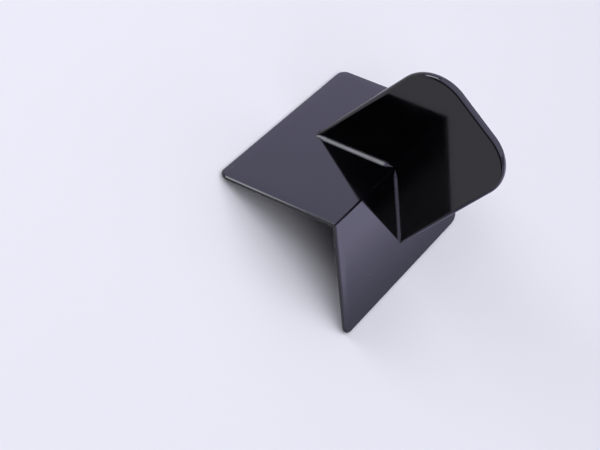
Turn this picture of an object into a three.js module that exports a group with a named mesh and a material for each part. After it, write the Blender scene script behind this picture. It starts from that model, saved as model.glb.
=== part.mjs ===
// Corner fondant smoother: two glossy plates mitred along a fold, a little wider than a right
// angle, with a paddle handle cemented across the outside of the corner.
// Millimetres, +Z up. The smoother stands like a tent on the long free edges of its plates,
// handle upwards. The fold runs along Y. The origin lies on the standing surface, under the
// middle of the fold.
import * as THREE from 'three';

// Plates
const cornerOpening = 98.5; // degrees between the inner faces
const plateDepth = 60; // from the sharp outer corner line to the free long edge
const plateLength = 100; // along the fold
const plateThickness = 2;
const plateCornerRadius = 4.5; // at the free corners, seen square to the plate
const sharpestCorner = 0.5; // least corner radius left on an inset outline
const rimChamfer = 0.5; // polished chamfer round the outer rim
const bevelWidth = 4; // shallow bevel inside the rim on the outer face
const bevelDrop = 0.1;
const footFlat = 0.5; // inner edge cut level with the standing surface

// Mitre joint
const seamThickness = 0.3; // film of cement in the mitre
const seamFit = 0.05; // between the film and each plate
const foldBreak = 0.5; // sharp mitre edge taken off, which leaves a fine groove along the fold

// Handle
const handleReach = 41.4; // how far its seat runs along each plate from the corner
const handleHeight = 53.5; // outer edge above the corner line
const handleTopWidth = 59.5; // across the sides, produced to the outer edge
const handleThickness = 4;
const handleCornerRadius = 19.3;
const handleEdgeRadius = 1.8; // rounding round both faces, which leaves a narrow flat between

// Cement beads in the four root corners
const beadLeg = 1.3;
const beadLip = 0.2; // blunt edge where the bead runs out
const beadHollow = 0.06; // how far its face sinks between the lips
const beadSetback = 1.2; // short of the handle's ends
const bondGap = 0.3; // film between bonded faces that are not level or upright

// Fineness of the round stretches
const plateCornerSteps = 8;
const handleCornerSteps = 16;
const handleEdgeSteps = 5;
const beadSteps = 6;

const QUARTER = Math.PI / 2;

// Each plate falls from level by this angle
const plateFall = THREE.MathUtils.degToRad((180 - cornerOpening) / 2);
const across = Math.cos(plateFall);
const down = Math.sin(plateFall);
const slope = down / across;

// Height of the outer corner line above the standing surface
const foldHeight = (plateDepth - footFlat) * down + plateThickness * across;

// Distance between the mitre plane and a plate's mitre face, measured along the plate
const mitreOffset = (seamThickness / 2 + seamFit) / across;

const blackAcrylic = () => new THREE.MeshStandardMaterial({ color: 0x0c0c0e, roughness: 0.1, metalness: 0 });
const blackCement = () => new THREE.MeshStandardMaterial({ color: 0x101012, roughness: 0.16, metalness: 0 });

// Closed solid through rings of equal point counts, with flat ends. The outline is the ring
// seen along the row of rings, anticlockwise when the last ring is the nearest.
function loft(rings, outline) {
  const count = outline.length;
  const last = (rings.length - 1) * count;
  const index = [];
  for (let start = 0; start < last; start += count) {
    for (let i = 0; i < count; i += 1) {
      const a = start + i;
      const b = start + ((i + 1) % count);
      index.push(a, b, b + count, a, b + count, a + count);
    }
  }
  for (const [a, b, c] of THREE.ShapeUtils.triangulateShape(outline, [])) {
    index.push(c, b, a, last + a, last + b, last + c);
  }
  const geometry = new THREE.BufferGeometry();
  geometry.setAttribute('position', new THREE.Float32BufferAttribute(rings.flat().flatMap((p) => p.toArray()), 3));
  geometry.setIndex(index);
  geometry.computeVertexNormals();
  return geometry;
}

// Value at x on the line through points that are sorted by their first number
function along(points, x) {
  const next = Math.max(1, points.findIndex((p) => p[0] >= x));
  const [x0, y0] = points[next - 1];
  const [x1, y1] = points[next];
  return y0 + ((x - x0) / (x1 - x0)) * (y1 - y0);
}

// Points of an arc about (cx, cy), both ends included
function arc(cx, cy, radius, from, to, steps) {
  return Array.from({ length: steps + 1 }, (_, i) => {
    const angle = from + ((to - from) * i) / steps;
    return new THREE.Vector2(cx + radius * Math.cos(angle), cy + radius * Math.sin(angle));
  });
}

// A leg frame has its origin on the outer corner line: x down the plate, y along the fold and
// z out of the plate's outer face. The mitre plane is x = -z * slope there.

// Outline of a plate with its free sides inset and its fold side at x = fold, in the leg frame
function plateOutline(inset, fold) {
  const radius = Math.max(plateCornerRadius - inset, sharpestCorner);
  const side = plateLength / 2 - inset;
  const cx = plateDepth - inset - radius;
  const cy = side - radius;
  return [
    new THREE.Vector2(fold, -side),
    ...arc(cx, -cy, radius, -QUARTER, 0, plateCornerSteps),
    ...arc(cx, cy, radius, 0, QUARTER, plateCornerSteps),
    new THREE.Vector2(fold, side),
  ];
}

// Plate with a level foot on its inner edge, a chamfered rim and shallow bevel on its outer face,
// and a mitred fold side whose sharp outer edge is broken
function plateGeometry() {
  const rimTop = -bevelDrop;
  const insetAt = [
    [-plateThickness, footFlat],
    [-plateThickness + footFlat * slope, 0],
    [rimTop - rimChamfer, 0],
    [rimTop, rimChamfer],
    [0, bevelWidth],
  ];
  const breakDepth = foldBreak * across;
  const foldAt = [
    [-plateThickness, plateThickness * slope + mitreOffset],
    [-breakDepth, breakDepth * slope + mitreOffset],
    [0, foldBreak + mitreOffset],
  ];
  const levels = [...new Set([...insetAt, ...foldAt].map(([z]) => z))].sort((a, b) => a - b);
  const outlines = levels.map((z) => plateOutline(along(insetAt, z), along(foldAt, z)));
  const rings = outlines.map((ring, i) => ring.map((p) => new THREE.Vector3(p.x, p.y, levels[i])));
  return loft(rings, outlines[0]);
}

// The handle's section lies in the upright plane across the fold: x across, y up from the
// outer corner line. Its sides lean in by sideLean towards the top.
const rootHalfWidth = handleReach * across;
const rootDrop = handleReach * down;
const sideLean = (rootHalfWidth - handleTopWidth / 2) / (handleHeight + rootDrop);
const seatApex = bondGap / across;

// Half-width of the handle at a height, with its side inset square to itself
function handleHalfWidth(height, inset) {
  const square = inset * Math.hypot(1, sideLean);
  return rootHalfWidth - sideLean * (height + rootDrop) - square;
}

// Outline of the handle with all but its notched seat inset
function handleOutline(inset) {
  const foot = handleHalfWidth(seatApex, inset) / (1 - sideLean * slope);
  const centreHeight = handleHeight - handleCornerRadius;
  const centre = handleHalfWidth(centreHeight, handleCornerRadius);
  const corner = arc(centre, centreHeight, handleCornerRadius - inset, Math.atan(sideLean), QUARTER, handleCornerSteps);
  const right = [new THREE.Vector2(foot, seatApex - foot * slope), ...corner];
  const left = right.map((p) => new THREE.Vector2(-p.x, p.y)).reverse();
  return [new THREE.Vector2(0, seatApex), ...right, ...left];
}

// Paddle with round edges and a notch that sits over the corner of the plates. Its edge profile
// has the depth from the middle of the sheet as x and the inset of the outline as y.
function handleGeometry() {
  const flat = handleThickness / 2 - handleEdgeRadius;
  const near = arc(flat, handleEdgeRadius, handleEdgeRadius, -QUARTER, 0, handleEdgeSteps);
  const far = near.map((p) => new THREE.Vector2(-p.x, p.y)).reverse();
  const profile = [...far, ...near];
  const outlines = profile.map((p) => handleOutline(p.y));
  const rings = outlines.map((ring, i) => ring.map((p) => new THREE.Vector3(p.x, p.y, profile[i].x)));
  return loft(rings, outlines[0]);
}

// Bead with a slightly hollow face along one root corner, in the leg frame, on the side of the
// handle that facing (+1 or -1) gives. It is mitred at the fold and slants with the handle's end.
function beadGeometry(facing) {
  const root = handleThickness / 2 + bondGap;
  const halfFace = (beadLeg - beadLip) * Math.SQRT1_2;
  const radius = (halfFace ** 2 + beadHollow ** 2) / (2 * beadHollow);
  const swing = Math.asin(halfFace / radius);
  const middle = (beadLeg + beadLip) / 2 + (radius - beadHollow) * Math.SQRT1_2;
  const inwards = 2.5 * QUARTER;
  const section = [
    new THREE.Vector2(root, bondGap),
    new THREE.Vector2(root + beadLeg, bondGap),
    ...arc(root + middle, bondGap + middle, radius, inwards + swing, inwards - swing, beadSteps),
    new THREE.Vector2(root, bondGap + beadLeg),
  ];
  const outline = facing > 0 ? section : section.map((p) => new THREE.Vector2(-p.x, p.y)).reverse();
  const ends = [bondGap / 2 / across, handleReach - beadSetback];
  const rings = ends.map((x) => outline.map((p) => new THREE.Vector3(x - p.y * slope, p.x, p.y)));
  return loft(rings, outline);
}

// Film of cement that fills the mitre from the inner corner up to the groove along the fold
function seamGeometry() {
  const innerDepth = plateThickness / across + mitreOffset * down;
  const outerDepth = foldBreak + mitreOffset * down;
  const film = new THREE.BoxGeometry(seamThickness, plateLength - 2 * rimChamfer, innerDepth - outerDepth);
  film.translate(0, 0, -(innerDepth + outerDepth) / 2);
  return film;
}

function mesh(name, geometry, material) {
  const made = new THREE.Mesh(geometry, material);
  made.name = name;
  return made;
}

// Leg frame of one plate, with the plate and the two beads on it. The turn about Z swaps the
// fold's two ends, so the front bead lies at +y on the turned leg and at -y on the other.
function leg(name, turn, frontFacing) {
  const tilted = new THREE.Group();
  tilted.rotation.y = plateFall;
  tilted.add(mesh(`${name}_plate`, plateGeometry(), blackAcrylic()));
  tilted.add(mesh(`front_${name}_bead`, beadGeometry(frontFacing), blackCement()));
  tilted.add(mesh(`rear_${name}_bead`, beadGeometry(-frontFacing), blackCement()));
  const turned = new THREE.Group();
  turned.rotation.z = turn;
  turned.add(tilted);
  return turned;
}

const corner = new THREE.Group();
corner.position.z = foldHeight;
corner.add(leg('top', Math.PI, 1));
corner.add(leg('side', 0, -1));
corner.add(mesh('corner_seam', seamGeometry(), blackCement()));

const handle = mesh('handle_paddle', handleGeometry(), blackAcrylic());
handle.rotation.x = QUARTER;
corner.add(handle);

const smoother = new THREE.Group();
smoother.add(corner);

export default smoother;
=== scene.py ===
"""Corner fondant smoother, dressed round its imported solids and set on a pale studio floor.

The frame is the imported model: metres, +Z up, the smoother standing like a tent on the long free
edges of its plates, the fold along Y and the handle upwards.
"""
import math

import bmesh
import bpy
from bpy.props import FloatProperty, FloatVectorProperty, PointerProperty
from mathutils import Matrix, Quaternion, Vector


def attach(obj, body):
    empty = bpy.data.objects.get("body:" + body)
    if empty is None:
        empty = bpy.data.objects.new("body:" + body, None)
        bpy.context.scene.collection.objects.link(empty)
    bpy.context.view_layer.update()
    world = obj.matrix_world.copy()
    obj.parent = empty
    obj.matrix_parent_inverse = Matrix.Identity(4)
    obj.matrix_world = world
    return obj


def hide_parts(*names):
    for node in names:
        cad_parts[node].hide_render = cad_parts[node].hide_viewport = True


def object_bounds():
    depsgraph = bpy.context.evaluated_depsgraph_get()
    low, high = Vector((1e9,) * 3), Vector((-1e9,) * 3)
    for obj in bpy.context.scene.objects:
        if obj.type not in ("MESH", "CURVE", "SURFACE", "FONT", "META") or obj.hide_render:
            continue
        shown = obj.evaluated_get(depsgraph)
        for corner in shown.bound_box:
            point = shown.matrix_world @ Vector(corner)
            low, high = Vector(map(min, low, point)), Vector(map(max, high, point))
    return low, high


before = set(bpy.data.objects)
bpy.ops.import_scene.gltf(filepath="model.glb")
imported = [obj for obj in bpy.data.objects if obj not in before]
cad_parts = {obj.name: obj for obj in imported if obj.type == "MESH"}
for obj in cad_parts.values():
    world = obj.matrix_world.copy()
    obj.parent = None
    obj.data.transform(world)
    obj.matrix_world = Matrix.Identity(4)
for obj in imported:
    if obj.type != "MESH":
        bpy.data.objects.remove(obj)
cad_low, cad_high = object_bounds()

bl_info = {
    "name": "Corner fondant smoother",
    "version": (1, 0, 0),
    "blender": (4, 5, 0),
    "location": "View3D > Sidebar > Smoother",
    "description": "Builds a glossy corner smoother with a paddle handle, and its studio",
    "category": "Add Mesh",
}

MM = 0.001
QUARTER = math.pi / 2

# Fineness of the round stretches
PLATE_CORNER_STEPS = 32
HANDLE_CORNER_STEPS = 72
HANDLE_EDGE_STEPS = 14
EASE_STEPS = 6
BEAD_ARC_POINTS = 24
BEAD_RUN_POINTS = 72

# Edges that bend by more than this stay sharp
SHARP_EDGE = math.radians(32)

# Points of a bead that lie closer than this are merged
MERGE_DISTANCE = 0.0001 * MM

# Share of its section that a bead keeps at the fold and at the handle's end
SHARE_AT_FOLD = 0.1
SHARE_AT_END = {"top": 0.7, "side": 0.35}

# Floor, in metres: its width, how far it lies below the feet, and the distances from the smoother
# at which it starts to fade and is all backdrop
FLOOR_WIDTH = 6.0
FLOOR_DROP = 0.02 * MM
FADE_START = 0.3
FADE_END = 0.8

# Width of the camera's sensor in millimetres
SENSOR_WIDTH = 36.0

# Lamps and cards, in metres. They face the middle of the smoother unless they have an aim.
MIDDLE = (0.0, 0.0, 0.05)
SOFTBOXES = {
    "overhead_softbox": {"place": (0.0, 0.0, 1.15), "size": (2.6, 2.6), "radiance": 1.05},
    # Draws the light lines along the near rim and the top plate's bead
    "left_softbox": {"place": (-1.792, -0.54, 0.75), "size": (0.96, 1.0), "radiance": 5.0},
}

# Cards that only the gloss sees, with their levels at the foot and from the rise upwards
CARDS = {
    # Mirrored in the handle's rim
    "overhead_card": {"place": (0.0, 0.0, 1.14), "size": (2.58, 2.58), "levels": (2.4, 2.4)},
    # Mirrored in the top plate
    "rear_left_card": {"place": (-0.54, 0.80, 0.29), "size": (0.9, 0.5), "levels": (1.7, 1.7)},
    # Mirrored in the side plate, which is darker towards its free edge
    "low_right_card": {"place": (0.4235, 0.38, 0.0155), "aim": (0.3835, 0.38, 1.0155),
                       "size": (0.9, 0.753), "levels": (0.58, 1.72), "rise": 0.38},
    # Mirrored in the side plate's bead
    "far_right_card": {"place": (0.78, 0.66, 0.18), "aim": (0.0, 0.0, 0.18),
                       "size": (0.8, 0.36), "levels": (1.95, 1.95)},
    "right_card": {"place": (0.95, -0.25, 0.27), "size": (0.45, 0.3), "levels": (1.77, 1.77)},
    # Dark, and mirrored where the handle and the plates mirror each other
    "front_flag": {"place": (0.33, -0.8, 0.22), "aim": (0.33, 0.0, 0.22),
                   "size": (2.33, 0.44), "levels": (0.1, 0.1)},
}


def linear(hex_code):
    """Linear RGBA of an sRGB hex colour."""
    levels = [int(hex_code[i:i + 2], 16) / 255 for i in (1, 3, 5)]
    return [v / 12.92 if v <= 0.04045 else ((v + 0.055) / 1.055) ** 2.4 for v in levels] + [1.0]


def length(name, millimetres, description):
    """A length property given in millimetres."""
    return FloatProperty(name=name, description=description, default=millimetres * MM, min=0.0,
                         unit="LENGTH", precision=5)


def share(name, default, lowest, highest, description):
    """A property that is a share of something else."""
    return FloatProperty(name=name, description=description, default=default, min=lowest,
                         max=highest, subtype="FACTOR")


def colour(name, hex_code, description):
    """A colour property given as an sRGB hex value."""
    return FloatVectorProperty(name=name, description=description, default=linear(hex_code),
                               size=4, min=0.0, max=1.0, subtype="COLOR")


class SmootherSizes(bpy.types.PropertyGroup):
    """Sizes of the sheets and of the cement that joins them."""

    opening: FloatProperty(name="Opening", description="Angle between the plates' inner faces",
                           default=math.radians(98.5), subtype="ANGLE")
    plate_depth: length("Plate depth", 60, "From the corner line to the free long edge")
    plate_length: FloatProperty(name="Plate length", description="Along the fold", unit="LENGTH",
                                default=cad_high.y - cad_low.y, min=0.0, precision=5)
    plate_thickness: length("Plate thickness", 2, "Thickness of the plate sheet")
    plate_corner: length("Plate corner", 4.5,
                         "Radius of the free corners, seen square to the plate")
    least_corner: length("Least corner", 0.5, "Smallest radius left on an inset outline")
    rim_width: length("Rim width", 0.62, "Polished chamfer round the outer rim, along the face")
    rim_depth: length("Rim depth", 0.5, "Polished chamfer round the outer rim, down the edge")
    arris: length("Arris", 0.12, "How far the borders of the rim's chamfer are eased")
    bevel_width: length("Bevel width", 4, "Shallow bevel inside the rim on the outer face")
    bevel_drop: length("Bevel drop", 0.1, "How far the bevel falls towards the rim")
    bevel_blend: length("Bevel blend", 0.9, "Half-width of the soft crease inside the bevel")
    foot_flat: length("Foot flat", 0.5, "Inner edge cut level with the standing surface")
    fold_break: length("Fold break", 0.52, "Sharp mitre edge taken off along the fold")
    mitre_gap: length("Mitre gap", 0.25, "Between the two mitre faces, filled by the cement film")
    handle_reach: length("Handle reach", 41.4, "How far the seat runs along each plate")
    handle_height: length("Handle height", 53.5, "Outer edge above the corner line")
    handle_top_width: length("Handle top width", 59.5,
                             "Across the sides, produced to the outer edge")
    handle_thickness: length("Handle thickness", 4, "Thickness of the handle sheet")
    handle_corner: length("Handle corner", 19.3, "Radius of the outer corners")
    handle_edge: length("Handle edge", 1.8, "Rounding round both faces of the handle")
    top_bead_leg: length("Top bead leg", 2.0, "How far a bead reaches out along the top plate")
    side_bead_leg: length("Side bead leg", 1.6, "How far a bead reaches out along the side plate")
    bead_rise: share("Bead rise", 0.7, 0.1, 2.0, "Height of a bead as a share of its leg")
    bead_hollow: share("Bead hollow", 0.38, 0.0, 1.0,
                       "Hollow of a bead's face, 1 for a quarter circle")
    bead_setback: length("Bead setback", 1.1,
                         "How far a bead stops short of the fold and of the handle's end")
    bead_ripple: share("Bead ripple", 0.02, 0.0, 0.5, "Share by which a bead's leg varies")
    bead_run_out: length("Bead run-out", 4.5, "Length over which a bead thins towards each end")
    bond: length("Bond", 0.01, "Hair gap that keeps bonded faces apart")


class SmootherFinish(bpy.types.PropertyGroup):
    """Colours of the two materials."""

    acrylic: colour("Acrylic", "#020203", "Body colour of the black acrylic sheet")
    haze: colour("Haze", "#050506", "Body colour where handling has left a haze")
    dust: colour("Dust", "#8C8A88", "Specks of dust on the sheets")
    cement: colour("Cement", "#030304", "Body colour of the set cement")


class SmootherStudio(bpy.types.PropertyGroup):
    """Floor, light and camera."""

    floor: colour("Floor", "#EAEAEE", "Matte pale floor")
    backdrop: colour("Backdrop", "#E6E6F3", "What the camera sees beyond the floor")
    surround: colour("Surround", "#DDD9FF", "What the gloss sees round the floor")
    daylight: colour("Daylight", "#F6F6FF", "Tint of the light that falls on the floor")
    fill: FloatProperty(name="Fill", description="Level of the even light from all round",
                        default=0.08, min=0.0)
    lens: FloatProperty(name="Lens", description="Focal length in millimetres",
                        default=84.732, min=1.0, unit="CAMERA")
    roll: FloatProperty(name="Roll", description="Camera turned about its own line of sight",
                        default=math.radians(59.118), subtype="ANGLE")
    camera_place: FloatVectorProperty(name="Camera place", description="Where the camera stands",
                                      default=(-0.070826, -0.436989, 0.46784),
                                      subtype="TRANSLATION")
    camera_aim: FloatVectorProperty(name="Camera aim", description="Point on its line of sight",
                                    default=(-0.00599, -0.039806, 0.011104),
                                    subtype="TRANSLATION")


def add_node(tree, kind, settings=None, inputs=None):
    """Add a node, set its properties, and set or link its inputs.

    A value that is a socket is linked, and one that is a node is linked from its first output.
    """
    made = tree.nodes.new(kind)
    for name, value in (settings or {}).items():
        setattr(made, name, value)
    for key, value in (inputs or {}).items():
        named = [s for s in made.inputs if s.enabled and s.name == key]
        socket = named[0] if named else made.inputs[key]
        if isinstance(value, bpy.types.Node):
            value = next(s for s in value.outputs if s.enabled)
        if isinstance(value, bpy.types.NodeSocket):
            tree.links.new(value, socket)
        else:
            socket.default_value = value
    return made


def new_material(name):
    """A material with an empty node tree, the tree, and the object's own coordinates in it."""
    material = bpy.data.materials.new(name)
    material.use_nodes = True
    tree = material.node_tree
    tree.nodes.clear()
    place = add_node(tree, "ShaderNodeTexCoord").outputs["Object"]
    return material, tree, place


def polished_acrylic(name, finish):
    """Cast acrylic sheet, dyed black in the mass and polished.

    The eye sees a deep black body under a clear skin that mirrors its surroundings. Handling
    leaves a soft haze in patches, fine wipe marks along the fold and a few specks of dust.
    """
    material, tree, place = new_material(name)
    # Patches of haze about 22 mm across
    patches = add_node(tree, "ShaderNodeTexNoise", inputs={
        "Vector": place, "Scale": 1 / (22 * MM), "Detail": 3.0, "Roughness": 0.55})
    # Wipe marks about 25 mm long, drawn 0.6 mm apart so that they show
    stretched = add_node(tree, "ShaderNodeMapping", inputs={
        "Vector": place, "Scale": (1 / (0.6 * MM), 1 / (25 * MM), 1 / (0.6 * MM))})
    wipes = add_node(tree, "ShaderNodeTexNoise", inputs={
        "Vector": stretched, "Scale": 1.0, "Detail": 2.0, "Roughness": 0.5})
    # Specks of dust, one to a 9 mm cell, drawn about 0.3 mm across so that they show
    cells = add_node(tree, "ShaderNodeTexVoronoi", inputs={
        "Vector": place, "Scale": 1 / (9 * MM), "Randomness": 1.0})
    speck = add_node(tree, "ShaderNodeMapRange", inputs={
        "Value": cells, "From Min": 0.012, "From Max": 0.022, "To Min": 1.0, "To Max": 0.0})
    hazy = add_node(tree, "ShaderNodeMapRange", inputs={
        "Value": patches, "From Min": 0.4, "From Max": 0.7})
    body = add_node(tree, "ShaderNodeMix", {"data_type": "RGBA"}, {
        "Factor": hazy, "A": finish.acrylic, "B": finish.haze})
    dusted = add_node(tree, "ShaderNodeMix", {"data_type": "RGBA"}, {
        "Factor": speck, "A": body, "B": finish.dust})
    # Roughness is about 0.03 where the sheet is clean and 0.08 where it is hazy
    smooth = add_node(tree, "ShaderNodeMapRange", inputs={
        "Value": patches, "From Min": 0.3, "From Max": 0.7, "To Min": 0.03, "To Max": 0.08})
    wiped = add_node(tree, "ShaderNodeMapRange", inputs={
        "Value": wipes, "From Min": 0.45, "From Max": 0.75, "To Min": 0.0, "To Max": 0.04})
    rough = add_node(tree, "ShaderNodeMath", {"operation": "ADD"}, {0: smooth, 1: wiped})
    # Sheet is never quite flat: waves about 45 mm long and a few hundredths deep
    waves = add_node(tree, "ShaderNodeTexNoise", inputs={
        "Vector": place, "Scale": 1 / (45 * MM), "Detail": 1.0, "Roughness": 0.4})
    flow = add_node(tree, "ShaderNodeBump", inputs={
        "Height": waves, "Strength": 1.0, "Distance": 0.035 * MM})
    marks = add_node(tree, "ShaderNodeBump", inputs={
        "Height": wipes, "Strength": 1.0, "Distance": 0.0006 * MM, "Normal": flow})
    shader = add_node(tree, "ShaderNodeBsdfPrincipled", inputs={
        "Base Color": dusted, "Roughness": rough, "IOR": 1.49, "Normal": marks})
    add_node(tree, "ShaderNodeOutputMaterial", inputs={"Surface": shader})
    return material


def set_cement(name, finish):
    """Black solvent cement, run along the joint and left to set.

    The eye sees the same black with a skin drawn smooth by surface tension, a little uneven
    along its run.
    """
    material, tree, place = new_material(name)
    # Unevenness about 5 mm long, and fine texture of the skin about 0.7 mm across
    runs = add_node(tree, "ShaderNodeTexNoise", inputs={
        "Vector": place, "Scale": 1 / (5 * MM), "Detail": 2.0})
    skin = add_node(tree, "ShaderNodeTexNoise", inputs={
        "Vector": place, "Scale": 1 / (0.7 * MM), "Detail": 1.0})
    rough = add_node(tree, "ShaderNodeMapRange", inputs={
        "Value": runs, "From Min": 0.3, "From Max": 0.7, "To Min": 0.2, "To Max": 0.3})
    sag = add_node(tree, "ShaderNodeBump", inputs={
        "Height": runs, "Strength": 1.0, "Distance": 0.015 * MM})
    grain = add_node(tree, "ShaderNodeBump", inputs={
        "Height": skin, "Strength": 1.0, "Distance": 0.004 * MM, "Normal": sag})
    shader = add_node(tree, "ShaderNodeBsdfPrincipled", inputs={
        "Base Color": finish.cement, "Roughness": rough, "IOR": 1.49, "Normal": grain})
    add_node(tree, "ShaderNodeOutputMaterial", inputs={"Surface": shader})
    return material


# Material of each slot of the record, and the function that makes it
FINISHES = {
    "polished_acrylic": ("black_acrylic_polished", polished_acrylic),
    "acrylic_cement": ("black_cement_set", set_cement),
}


def finish_for(slot):
    """The material of a slot, made on first use."""
    name, maker = FINISHES[slot]
    return bpy.data.materials.get(name) or maker(name, bpy.context.scene.smoother_finish)


def new_object(name, data):
    """A new object for the data, linked to the scene."""
    made = bpy.data.objects.new(name, data)
    bpy.context.scene.collection.objects.link(made)
    return made


def arc(centre_x, centre_y, radius, start, end, steps):
    """Points of an arc, both ends included."""
    angles = [start + (end - start) * i / steps for i in range(steps + 1)]
    return [(centre_x + radius * math.cos(a), centre_y + radius * math.sin(a)) for a in angles]


def along(points, x):
    """Value at x on the line through points that are sorted by their first number."""
    for (x0, y0), (x1, y1) in zip(points, points[1:]):
        if x <= x1:
            return y0 + (x - x0) / (x1 - x0) * (y1 - y0)
    return points[-1][1]


def eased(points, reaches):
    """Line through points, with each inner corner eased by a curve that starts a reach away."""
    corners = [Vector(point) for point in points]
    line = [corners[0]]
    for before, corner, after, reach in zip(corners, corners[1:], corners[2:], reaches):
        start = corner + reach * (before - corner).normalized()
        end = corner + reach * (after - corner).normalized()
        for i in range(EASE_STEPS + 1):
            t = i / EASE_STEPS
            line.append((1 - t) ** 2 * start + 2 * t * (1 - t) * corner + t ** 2 * end)
    return line + [corners[-1]]


def turn_outwards(shape):
    """Turn the faces of a closed shape outwards, and smooth all but its sharp edges."""
    bmesh.ops.recalc_face_normals(shape, faces=shape.faces)
    for face in shape.faces:
        face.smooth = True
    for edge in shape.edges:
        edge.smooth = edge.calc_face_angle() < SHARP_EDGE


def loft(rings):
    """Closed mesh through rings of equal point counts, with flat ends."""
    shape = bmesh.new()
    rows = [[shape.verts.new(point) for point in ring] for ring in rings]
    for low, high in zip(rows, rows[1:]):
        for i, start in enumerate(low):
            j = (i + 1) % len(low)
            shape.faces.new((start, low[j], high[j], high[i]))
    shape.faces.new(rows[0][::-1])
    shape.faces.new(rows[-1])
    turn_outwards(shape)
    mesh = bpy.data.meshes.new("loft")
    shape.to_mesh(mesh)
    shape.free()
    return mesh


def merged(mesh):
    """The mesh with its doubles merged and its faces turned outwards."""
    shape = bmesh.new()
    shape.from_mesh(mesh)
    bmesh.ops.remove_doubles(shape, verts=shape.verts, dist=MERGE_DISTANCE)
    turn_outwards(shape)
    shape.to_mesh(mesh)
    shape.free()
    return mesh


def plain_mesh(holder):
    """The holder's evaluated shape as a mesh of its own, with the holder removed."""
    graph = bpy.context.evaluated_depsgraph_get()
    mesh = bpy.data.meshes.new_from_object(holder.evaluated_get(graph), depsgraph=graph,
                                           preserve_all_data_layers=True)
    bpy.data.objects.remove(holder)
    return mesh


def weighted(mesh):
    """The mesh with normals that follow its larger faces, so that flats mirror as flats."""
    holder = new_object("holder", mesh)
    modifier = holder.modifiers.new("weighted", "WEIGHTED_NORMAL")
    modifier.keep_sharp = True
    # 50 is neutral, and 100 gives the larger faces the most say
    modifier.weight = 100
    return plain_mesh(holder)


def place_piece(name, mesh, slot):
    """Put a finished mesh in the scene for the CAD node of its name, riding on the one body."""
    mesh.name = name
    mesh.materials.clear()
    mesh.materials.append(finish_for(slot))
    piece = new_object("shown_" + name, mesh)
    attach(piece, "root")
    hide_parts(name)


def plate_fall(sizes):
    """Angle by which each plate falls from level."""
    return (math.pi - sizes.opening) / 2


def fold_height(sizes):
    """Height of the outer corner line above the standing surface."""
    fall = plate_fall(sizes)
    drop = (sizes.plate_depth - sizes.foot_flat) * math.sin(fall)
    return drop + sizes.plate_thickness * math.cos(fall)


def leg_frame(sizes, leg):
    """Matrix of a leg: x down the plate from the corner line, y along the fold, z outwards."""
    turn = {"top": math.pi, "side": 0.0}[leg]
    raised = Matrix.Translation((0, 0, fold_height(sizes)))
    return raised @ Matrix.Rotation(turn, 4, "Z") @ Matrix.Rotation(plate_fall(sizes), 4, "Y")


def rim_profile(sizes):
    """Free edge of a plate as (height, inset) pairs from the inner face to the outer face."""
    foot_top = sizes.foot_flat * math.tan(plate_fall(sizes)) - sizes.plate_thickness
    corners = [(-sizes.plate_thickness, sizes.foot_flat), (foot_top, 0.0),
               (-sizes.bevel_drop - sizes.rim_depth, 0.0), (-sizes.bevel_drop, sizes.rim_width),
               (0.0, sizes.bevel_width), (0.0, sizes.bevel_width + 2 * sizes.bevel_blend)]
    # The last corner only leads the crease into the flat face
    return eased(corners, [sizes.arris] * 3 + [sizes.bevel_blend])[:-1]


def fold_profile(sizes):
    """Fold side of a plate as (height, x) pairs: the mitre, and its sharp edge broken."""
    fall = plate_fall(sizes)
    mitre = sizes.mitre_gap / 2 / math.cos(fall)
    broken = sizes.fold_break * math.cos(fall)
    return [(-sizes.plate_thickness, sizes.plate_thickness * math.tan(fall) + mitre),
            (-broken, broken * math.tan(fall) + mitre), (0.0, sizes.fold_break + mitre)]


def plate_outline(sizes, inset, fold):
    """Plate outline with its free sides inset and its fold side at x = fold, in the leg frame."""
    radius = max(sizes.plate_corner - inset, sizes.least_corner)
    side = sizes.plate_length / 2 - inset
    x = sizes.plate_depth - inset - radius
    y = side - radius
    return ([(fold, -side)] + arc(x, -y, radius, -QUARTER, 0, PLATE_CORNER_STEPS)
            + arc(x, y, radius, 0, QUARTER, PLATE_CORNER_STEPS) + [(fold, side)])


class SMOOTHER_OT_plates(bpy.types.Operator):
    """Build the top plate and the side plate, mitred along the fold"""

    bl_idname = "smoother.plates"
    bl_label = "Plates"

    def execute(self, context):
        sizes = context.scene.smoother_sizes
        rings = []
        for z, inset in rim_profile(sizes):
            outline = plate_outline(sizes, inset, along(fold_profile(sizes), z))
            rings.append([(x, y, z) for x, y in outline])
        for leg in ("top", "side"):
            mesh = weighted(loft(rings))
            mesh.transform(leg_frame(sizes, leg))
            place_piece(leg + "_plate", mesh, "polished_acrylic")
        return {"FINISHED"}


def handle_outline(sizes, inset):
    """Handle outline with all but its notched seat inset: x across, y up from the corner line."""
    fall = plate_fall(sizes)
    root = sizes.handle_reach * math.cos(fall)
    drop = sizes.handle_reach * math.sin(fall)
    lean = (root - sizes.handle_top_width / 2) / (sizes.handle_height + drop)

    def half_width(height, square):
        return root - lean * (height + drop) - square * math.hypot(1, lean)

    apex = sizes.bond / math.cos(fall)
    foot = half_width(apex, inset) / (1 - lean * math.tan(fall))
    centre_y = sizes.handle_height - sizes.handle_corner
    centre_x = half_width(centre_y, sizes.handle_corner)
    corner = arc(centre_x, centre_y, sizes.handle_corner - inset, math.atan(lean), QUARTER,
                 HANDLE_CORNER_STEPS)
    right = [(foot, apex - foot * math.tan(fall))] + corner
    left = [(-x, y) for x, y in reversed(right)]
    return [(0.0, apex)] + right + left


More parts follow.
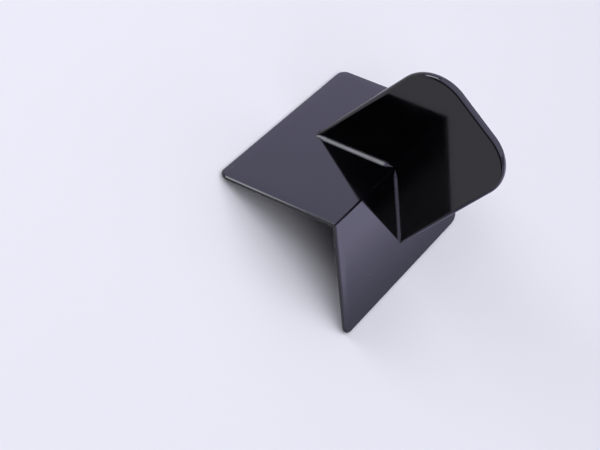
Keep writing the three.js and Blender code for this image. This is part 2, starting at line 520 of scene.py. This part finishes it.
class SMOOTHER_OT_handle(bpy.types.Operator):
    """Build the paddle handle, notched to sit over the corner"""

    bl_idname = "smoother.handle"
    bl_label = "Handle"

    def execute(self, context):
        sizes = context.scene.smoother_sizes
        height = fold_height(sizes)
        half = sizes.handle_thickness / 2
        edge = sizes.handle_edge
        rear = arc(half - edge, edge, edge, -QUARTER, 0, HANDLE_EDGE_STEPS)
        front = [(-depth, inset) for depth, inset in reversed(rear)]
        rings = []
        for depth, inset in front + rear:
            rings.append([(x, depth, y + height) for x, y in handle_outline(sizes, inset)])
        place_piece("handle_paddle", weighted(loft(rings)), "polished_acrylic")
        return {"FINISHED"}


class SMOOTHER_OT_seam(bpy.types.Operator):
    """Build the film of cement in the mitre, with a hollow skin along the fold"""

    bl_idname = "smoother.seam"
    bl_label = "Seam"

    def execute(self, context):
        sizes = context.scene.smoother_sizes
        fall = plate_fall(sizes)
        half = sizes.mitre_gap / 2 - sizes.bond
        reveal = sizes.mitre_gap / 2 * math.tan(fall)
        inner = fold_height(sizes) - sizes.plate_thickness / math.cos(fall) - reveal
        outer = fold_height(sizes) - sizes.fold_break - reveal
        hollow = arc(0, 0, half, math.pi, 2 * math.pi, BEAD_ARC_POINTS)
        skin = [(x, outer + y / 2) for x, y in hollow]
        foot = [(half, inner), (-half, inner)]
        reach = sizes.plate_length / 2 - sizes.rim_width
        rings = [[(x, y, z) for x, z in skin + foot] for y in (-reach, reach)]
        place_piece("corner_seam", weighted(loft(rings)), "acrylic_cement")
        return {"FINISHED"}


def bead_run(tree, given):
    """Line down the plate, along the handle's root, that a bead follows."""
    first, last = [add_node(tree, "ShaderNodeCombineXYZ", inputs={
        "X": given[end], "Y": given["Root"], "Z": given["Gap"]}) for end in ("Start", "End")]
    line = add_node(tree, "GeometryNodeCurvePrimitiveLine", inputs={"Start": first, "End": last})
    run = add_node(tree, "GeometryNodeResampleCurve", inputs={
        "Curve": line, "Count": BEAD_RUN_POINTS})
    return add_node(tree, "GeometryNodeSetCurveNormal", {"mode": "Z_UP"}, {"Curve": run})


def bead_fullness(tree, given, spot):
    """Share of its full section that a bead has along its run, thinning towards both ends."""
    # The section varies in waves about 14 mm long
    wander = add_node(tree, "ShaderNodeTexNoise", {"noise_dimensions": "4D"}, {
        "W": given["Seed"], "Scale": 1 / (14 * MM), "Detail": 1.0})
    swing = add_node(tree, "ShaderNodeMapRange", inputs={
        "Value": wander, "From Min": 0.3, "From Max": 0.7, "To Min": -1.0, "To Max": 1.0})
    full = add_node(tree, "ShaderNodeMath", {"operation": "MULTIPLY_ADD"}, {
        0: swing, 1: given["Ripple"], 2: 1.0})
    down = add_node(tree, "ShaderNodeSeparateXYZ", inputs={"Vector": spot}).outputs["X"]
    for far, near, kept in ((down, given["Start"], SHARE_AT_FOLD),
                            (given["End"], down, given["End share"])):
        gone = add_node(tree, "ShaderNodeMath", {"operation": "SUBTRACT"}, {0: far, 1: near})
        fuller = add_node(tree, "ShaderNodeMapRange", {"interpolation_type": "SMOOTHSTEP"}, {
            "Value": gone, "From Max": given["Run-out"], "To Min": kept})
        full = add_node(tree, "ShaderNodeMath", {"operation": "MULTIPLY"}, {0: full, 1: fuller})
    return full


def bead_section(tree, given, spot):
    """Three-sided section of a bead, with its corner at the origin so that its leg can vary.

    Its face is a quarter circle that is drawn back towards its chord until only the asked share
    of its hollow is left.
    """
    quarter = add_node(tree, "GeometryNodeCurveArc", inputs={
        "Resolution": BEAD_ARC_POINTS, "Radius": given["Leg"], "Start Angle": 0.0,
        "Sweep Angle": QUARTER, "Connect Center": True})
    number = add_node(tree, "GeometryNodeInputIndex")
    is_centre = add_node(tree, "FunctionNodeCompare", {"data_type": "INT", "operation": "EQUAL"}, {
        "A": number, "B": BEAD_ARC_POINTS})
    on_face = add_node(tree, "FunctionNodeBooleanMath", {"operation": "NOT"}, {0: is_centre})
    chord = add_node(tree, "ShaderNodeVectorMath", {"operation": "DOT_PRODUCT"}, {
        0: spot, 1: (1.0, 1.0, 0.0)}).outputs["Value"]
    bulge = add_node(tree, "ShaderNodeMath", {"operation": "SUBTRACT"}, {
        0: chord, 1: given["Leg"]})
    # Half the bulge off each coordinate would lay the face in its chord
    flatter = add_node(tree, "ShaderNodeMapRange", {"clamp": False}, {
        "Value": given["Hollow"], "To Min": -0.5, "To Max": 0.0})
    drawn = add_node(tree, "ShaderNodeMath", {"operation": "MULTIPLY"}, {0: bulge, 1: flatter})
    inward = add_node(tree, "ShaderNodeCombineXYZ", inputs={"X": drawn, "Y": drawn})
    face = add_node(tree, "GeometryNodeSetPosition", inputs={
        "Geometry": quarter, "Selection": on_face, "Offset": inward})
    # The arc's centre point crosses to the other side of the face and becomes the corner
    whole = add_node(tree, "ShaderNodeCombineXYZ", inputs={"X": given["Leg"], "Y": given["Leg"]})
    back = add_node(tree, "ShaderNodeVectorMath", {"operation": "SCALE"}, {
        "Vector": whole, "Scale": -1.0})
    pushed = add_node(tree, "GeometryNodeSetPosition", inputs={
        "Geometry": face, "Selection": is_centre, "Offset": whole})
    cornered = add_node(tree, "GeometryNodeTransform", inputs={
        "Geometry": pushed, "Translation": back})
    squat = add_node(tree, "ShaderNodeCombineXYZ", inputs={
        "X": 1.0, "Y": given["Rise"], "Z": 1.0})
    return add_node(tree, "GeometryNodeTransform", inputs={"Geometry": cornered, "Scale": squat})


def bead_tree():
    """Geometry nodes for one bead in the leg frame: a section run down the plate.

    The run is sheared by its height above the plate, which mitres it at the fold and slants it at
    the far end.
    """
    tree = bpy.data.node_groups.new("cement_bead", "GeometryNodeTree")
    numbers = ("Leg", "Rise", "Hollow", "Start", "End", "Root", "Gap", "Slope", "Ripple",
               "Run-out", "End share")
    sockets = dict.fromkeys(numbers, "NodeSocketFloat")
    sockets.update({"Seed": "NodeSocketInt", "Material": "NodeSocketMaterial"})
    for name, kind in sockets.items():
        tree.interface.new_socket(name, in_out="INPUT", socket_type=kind)
    tree.interface.new_socket("Geometry", in_out="OUTPUT", socket_type="NodeSocketGeometry")
    given = add_node(tree, "NodeGroupInput").outputs
    spot = add_node(tree, "GeometryNodeInputPosition")
    swept = add_node(tree, "GeometryNodeCurveToMesh", inputs={
        "Curve": bead_run(tree, given), "Profile Curve": bead_section(tree, given, spot),
        "Scale": bead_fullness(tree, given, spot), "Fill Caps": True})
    height = add_node(tree, "ShaderNodeSeparateXYZ", inputs={"Vector": spot}).outputs["Z"]
    lean = add_node(tree, "ShaderNodeMath", {"operation": "MULTIPLY"}, {
        0: height, 1: given["Slope"]})
    slant = add_node(tree, "ShaderNodeCombineXYZ", inputs={"X": lean})
    mitred = add_node(tree, "GeometryNodeSetPosition", inputs={"Geometry": swept, "Offset": slant})
    real = add_node(tree, "GeometryNodeRealizeInstances", inputs={"Geometry": mitred})
    painted = add_node(tree, "GeometryNodeSetMaterial", inputs={
        "Geometry": real, "Material": given["Material"]})
    add_node(tree, "NodeGroupOutput", inputs={"Geometry": painted})
    return tree


class SMOOTHER_OT_beads(bpy.types.Operator):
    """Run the four cement beads along the root of the handle"""

    bl_idname = "smoother.beads"
    bl_label = "Beads"

    def execute(self, context):
        sizes = context.scene.smoother_sizes
        tree = bead_tree()
        keys = {item.name: item.identifier for item in tree.interface.items_tree
                if item.in_out == "INPUT"}
        values = {"Rise": sizes.bead_rise, "Hollow": sizes.bead_hollow,
                  "Start": sizes.bead_setback, "End": sizes.handle_reach - sizes.bead_setback,
                  "Root": sizes.handle_thickness / 2 + sizes.bond, "Gap": sizes.bond,
                  "Slope": -math.tan(plate_fall(sizes)), "Ripple": sizes.bead_ripple,
                  "Run-out": sizes.bead_run_out, "Material": finish_for("acrylic_cement")}
        # The top leg's +y is the front and the side leg's +y the rear
        rows = [("front_top_bead", "top", 1), ("rear_top_bead", "top", -1),
                ("front_side_bead", "side", -1), ("rear_side_bead", "side", 1)]
        for seed, (name, leg, facing) in enumerate(rows):
            values["Leg"] = getattr(sizes, leg + "_bead_leg")
            values["End share"] = SHARE_AT_END[leg]
            values["Seed"] = seed
            holder = new_object("holder", bpy.data.meshes.new("holder"))
            modifier = holder.modifiers.new("bead", "NODES")
            modifier.node_group = tree
            for key, value in values.items():
                modifier[keys[key]] = value
            mesh = plain_mesh(holder)
            mesh.transform(leg_frame(sizes, leg) @ Matrix.Diagonal((1, facing, 1, 1)))
            place_piece(name, merged(mesh), "acrylic_cement")
        return {"FINISHED"}


def aim_at(thing, place, aim):
    """Put an object at a place, with its own -Z towards the aim."""
    thing.location = place
    thing.rotation_mode = "QUATERNION"
    thing.rotation_quaternion = (Vector(aim) - Vector(place)).to_track_quat("-Z", "Y")


def softbox(name, tint, place, size, radiance):
    """A rectangular softbox of an even radiance, hidden from the camera."""
    lamp = bpy.data.lights.new(name, "AREA")
    lamp.shape = "RECTANGLE"
    lamp.size, lamp.size_y = size
    # An area lamp's radiance is its power over four times its area
    lamp.energy = radiance * 4 * size[0] * size[1]
    lamp.color = tint[:3]
    box = new_object(name, lamp)
    aim_at(box, place, MIDDLE)
    box.visible_camera = False


def board(name, size, material):
    """A flat board in its own XY plane."""
    x, y = size[0] / 2, size[1] / 2
    mesh = bpy.data.meshes.new(name)
    mesh.from_pydata([(-x, -y, 0), (x, -y, 0), (x, y, 0), (-x, y, 0)], [], [(0, 1, 2, 3)])
    mesh.materials.append(material)
    made = new_object(name, mesh)
    return made


def card(name, tint, place, size, levels, aim=MIDDLE, rise=1.0):
    """A card that only the gloss sees, whose glow goes from one level at its foot to another."""
    material, tree, spot = new_material(name)
    height = add_node(tree, "ShaderNodeSeparateXYZ", inputs={"Vector": spot}).outputs["Y"]
    foot = -size[1] / 2
    level = add_node(tree, "ShaderNodeMapRange", inputs={
        "Value": height, "From Min": foot, "From Max": foot + rise,
        "To Min": levels[0], "To Max": levels[1]})
    glow = add_node(tree, "ShaderNodeEmission", inputs={"Color": tint, "Strength": level})
    add_node(tree, "ShaderNodeOutputMaterial", inputs={"Surface": glow})
    made = board(name, size, material)
    aim_at(made, place, aim)
    made.visible_camera = False
    made.visible_diffuse = False
    made.visible_shadow = False


def shown_rays(tree, rays):
    """Whether a ray shows the background: the camera's own, and any off gloss or through glass."""
    shown = rays["Is Camera Ray"]
    for name in ("Is Glossy Ray", "Is Transmission Ray"):
        shown = add_node(tree, "ShaderNodeMath", {"operation": "ADD", "use_clamp": True}, {
            0: shown, 1: rays[name]}).outputs["Value"]
    return shown


class SMOOTHER_OT_stage(bpy.types.Operator):
    """Lay the pale floor, hang the softboxes and cards and set up the camera"""

    bl_idname = "smoother.stage"
    bl_label = "Stage"

    def execute(self, context):
        scene = context.scene
        studio = scene.smoother_studio
        scene.view_settings.view_transform = "Standard"
        self.lay_floor(studio)
        self.set_surround(scene, studio)
        for name, row in SOFTBOXES.items():
            softbox(name, studio.daylight, **row)
        for name, row in CARDS.items():
            card(name, studio.surround, **row)
        self.set_camera(scene, studio)
        return {"FINISHED"}

    def lay_floor(self, studio):
        """Lay a matte floor that fades into the backdrop well away from the smoother."""
        material, tree, place = new_material("matte_floor")
        matte = add_node(tree, "ShaderNodeBsdfPrincipled", inputs={
            "Base Color": studio.floor, "Roughness": 0.9, "Specular IOR Level": 0.2})
        away = add_node(tree, "ShaderNodeVectorMath", {"operation": "LENGTH"}, {0: place})
        gone = add_node(tree, "ShaderNodeMapRange", {"interpolation_type": "SMOOTHSTEP"}, {
            "Value": away.outputs["Value"], "From Min": FADE_START, "From Max": FADE_END})
        rays = add_node(tree, "ShaderNodeLightPath").outputs
        faded = add_node(tree, "ShaderNodeMath", {"operation": "MULTIPLY"}, {
            0: gone, 1: shown_rays(tree, rays)})
        pale = add_node(tree, "ShaderNodeEmission", inputs={"Color": studio.backdrop})
        shader = add_node(tree, "ShaderNodeMixShader", inputs={0: faded, 1: matte, 2: pale})
        add_node(tree, "ShaderNodeOutputMaterial", inputs={"Surface": shader})
        floor = board("floor", (FLOOR_WIDTH, FLOOR_WIDTH), material)
        floor.location.z = -FLOOR_DROP

    def set_surround(self, scene, studio):
        """Light the scene faintly from all round, and show the camera and the gloss a pale tone."""
        world = bpy.data.worlds.new("pale_surround")
        scene.world = world
        world.use_nodes = True
        tree = world.node_tree
        tree.nodes.clear()
        rays = add_node(tree, "ShaderNodeLightPath").outputs
        tone = add_node(tree, "ShaderNodeMix", {"data_type": "RGBA"}, {
            "Factor": rays["Is Camera Ray"], "A": studio.surround, "B": studio.backdrop})
        lit = add_node(tree, "ShaderNodeBackground", inputs={
            "Color": studio.daylight, "Strength": studio.fill})
        pale = add_node(tree, "ShaderNodeBackground", inputs={"Color": tone, "Strength": 1.0})
        mixed = add_node(tree, "ShaderNodeMixShader", inputs={
            0: shown_rays(tree, rays), 1: lit, 2: pale})
        add_node(tree, "ShaderNodeOutputWorld", inputs={"Surface": mixed})

    def set_camera(self, scene, studio):
        """Set up the camera, rolled about its line of sight."""
        data = bpy.data.cameras.new("camera")
        data.sensor_width = SENSOR_WIDTH
        data.lens = studio.lens
        camera = new_object("camera", data)
        aim_at(camera, studio.camera_place, studio.camera_aim)
        rolled = Quaternion((0, 0, 1), studio.roll)
        camera.rotation_quaternion = camera.rotation_quaternion @ rolled
        scene.camera = camera


STEPS = (SMOOTHER_OT_plates, SMOOTHER_OT_handle, SMOOTHER_OT_seam, SMOOTHER_OT_beads,
         SMOOTHER_OT_stage)
GROUPS = {"smoother_sizes": SmootherSizes, "smoother_finish": SmootherFinish,
          "smoother_studio": SmootherStudio}


class SMOOTHER_PT_panel(bpy.types.Panel):
    """Sizes, colours and steps of the smoother"""

    bl_idname = "SMOOTHER_PT_panel"
    bl_label = "Fondant smoother"
    bl_space_type = "VIEW_3D"
    bl_region_type = "UI"
    bl_category = "Smoother"

    def draw(self, context):
        for step in STEPS:
            self.layout.operator(step.bl_idname)
        for group in GROUPS:
            owner = getattr(context.scene, group)
            box = self.layout.box()
            for name in owner.__annotations__:
                box.prop(owner, name)


def register():
    """Register the property groups, operators and panel."""
    for name, group in GROUPS.items():
        bpy.utils.register_class(group)
        setattr(bpy.types.Scene, name, PointerProperty(type=group))
    for made in (*STEPS, SMOOTHER_PT_panel):
        bpy.utils.register_class(made)


def unregister():
    """Undo register."""
    for made in (SMOOTHER_PT_panel, *reversed(STEPS)):
        bpy.utils.unregister_class(made)
    for name, group in GROUPS.items():
        delattr(bpy.types.Scene, name)
        bpy.utils.unregister_class(group)


def main():
    """Build every piece and the stage."""
    register()
    bpy.ops.smoother.plates()
    bpy.ops.smoother.handle()
    bpy.ops.smoother.seam()
    bpy.ops.smoother.beads()
    bpy.ops.smoother.stage()


if __name__ == "__main__":
    main()
